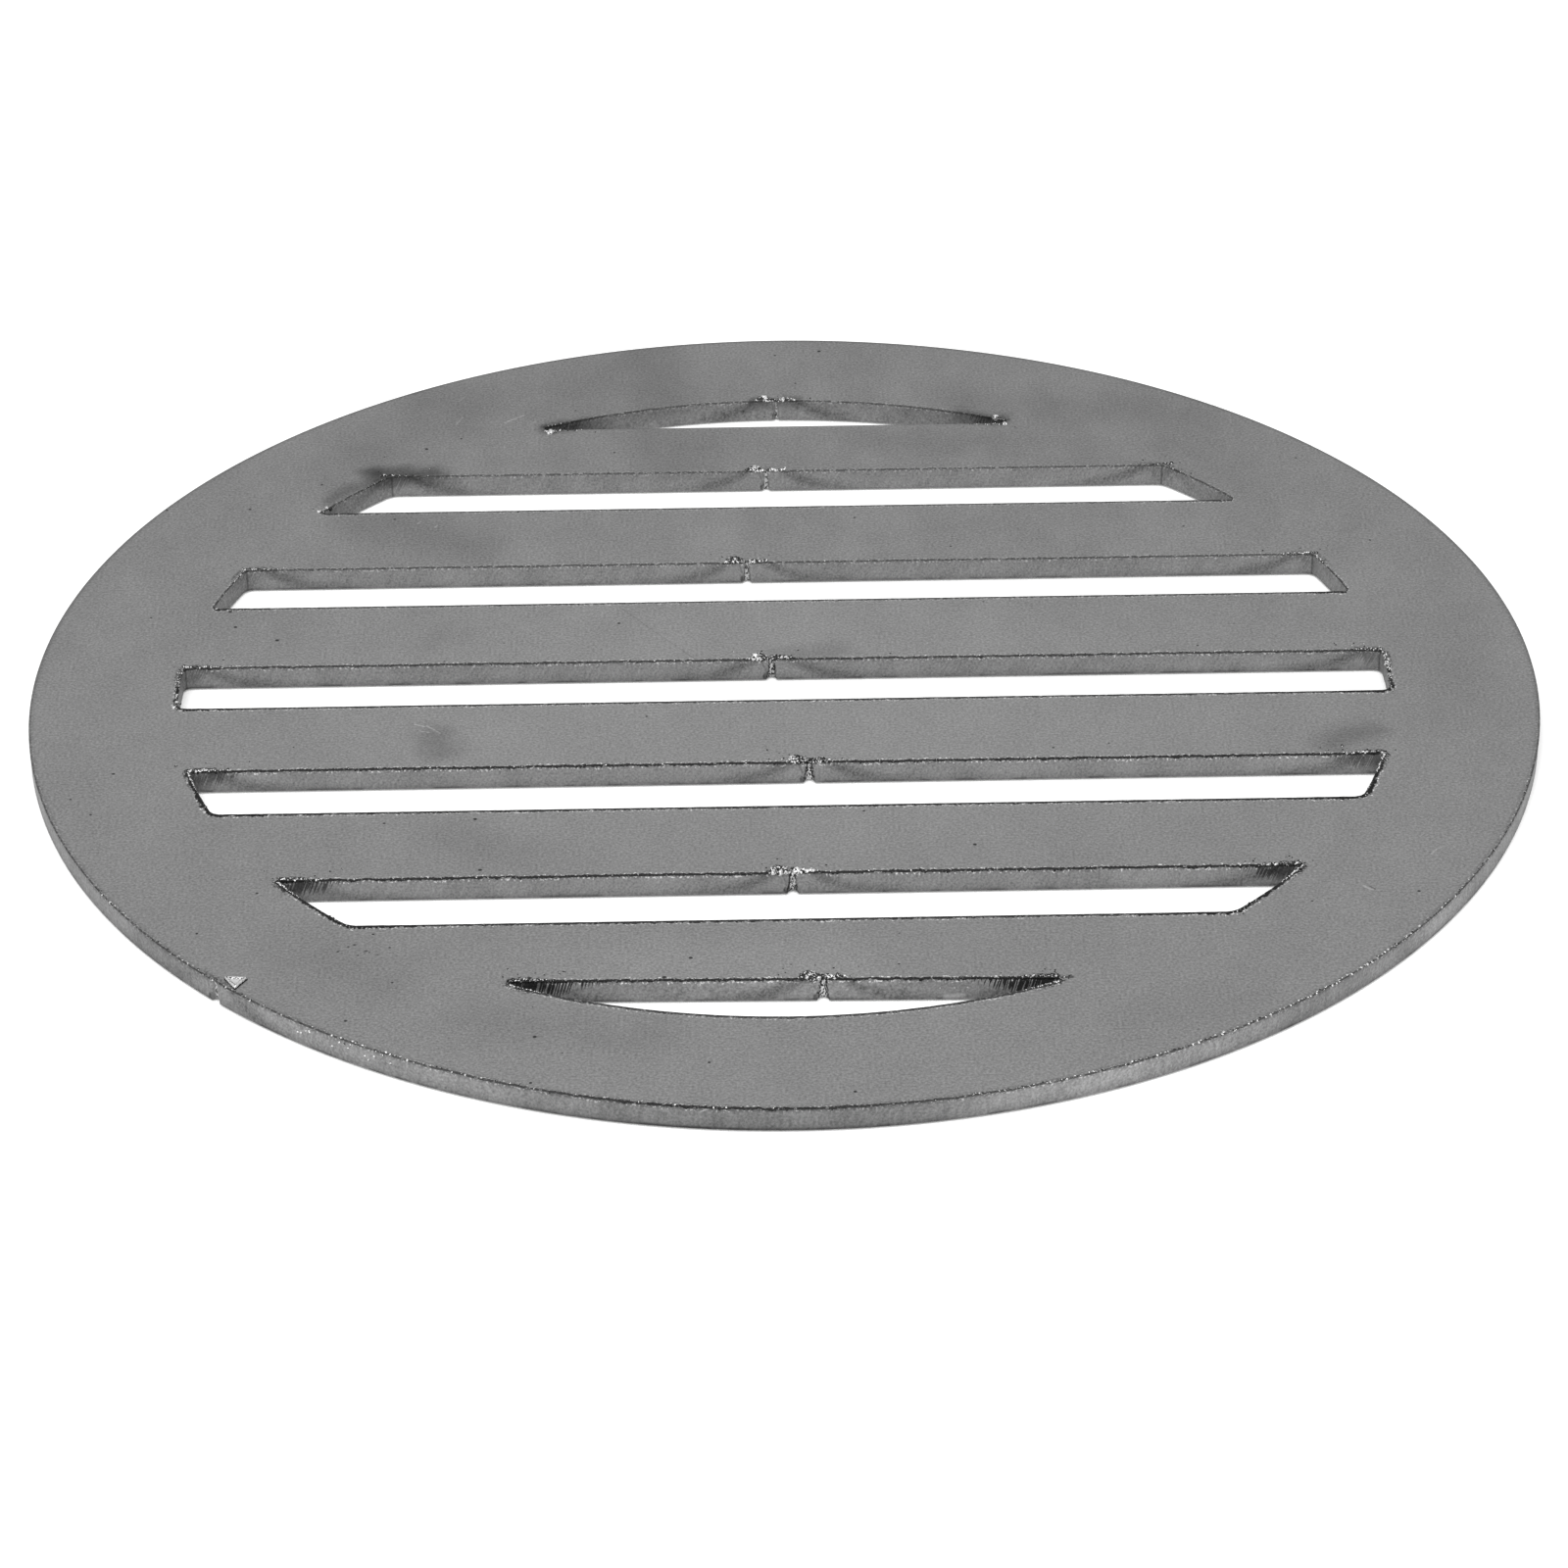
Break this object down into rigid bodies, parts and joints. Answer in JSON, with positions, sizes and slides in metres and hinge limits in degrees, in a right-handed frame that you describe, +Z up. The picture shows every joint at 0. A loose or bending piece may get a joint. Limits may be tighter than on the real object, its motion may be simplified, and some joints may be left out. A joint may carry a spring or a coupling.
{
  "type": "floor drain grate",
  "caption": "Flat round steel drain grate, one torch-cut plate with parallel slots across it, that drops into a drain body's recess.",
  "frame": {"origin": "centre of the plate's underside", "axes": "+Z up out of the top face, the openings run along X, +Y across the bars"},
  "size_m": [0.1905, 0.1904, 0.0035],
  "materials": {
    "mild_steel": "raw hot-rolled plate, matt grey, unpainted",
    "slag": "frozen torch slag, rough, lighter grey with bright points"
  },
  "bodies": {
    "root": {"grate_plate": "mild_steel", "pierce_dross": "slag", "corner_dross": "slag", "rim_spatter": "slag"}
  },
  "joints": []
}
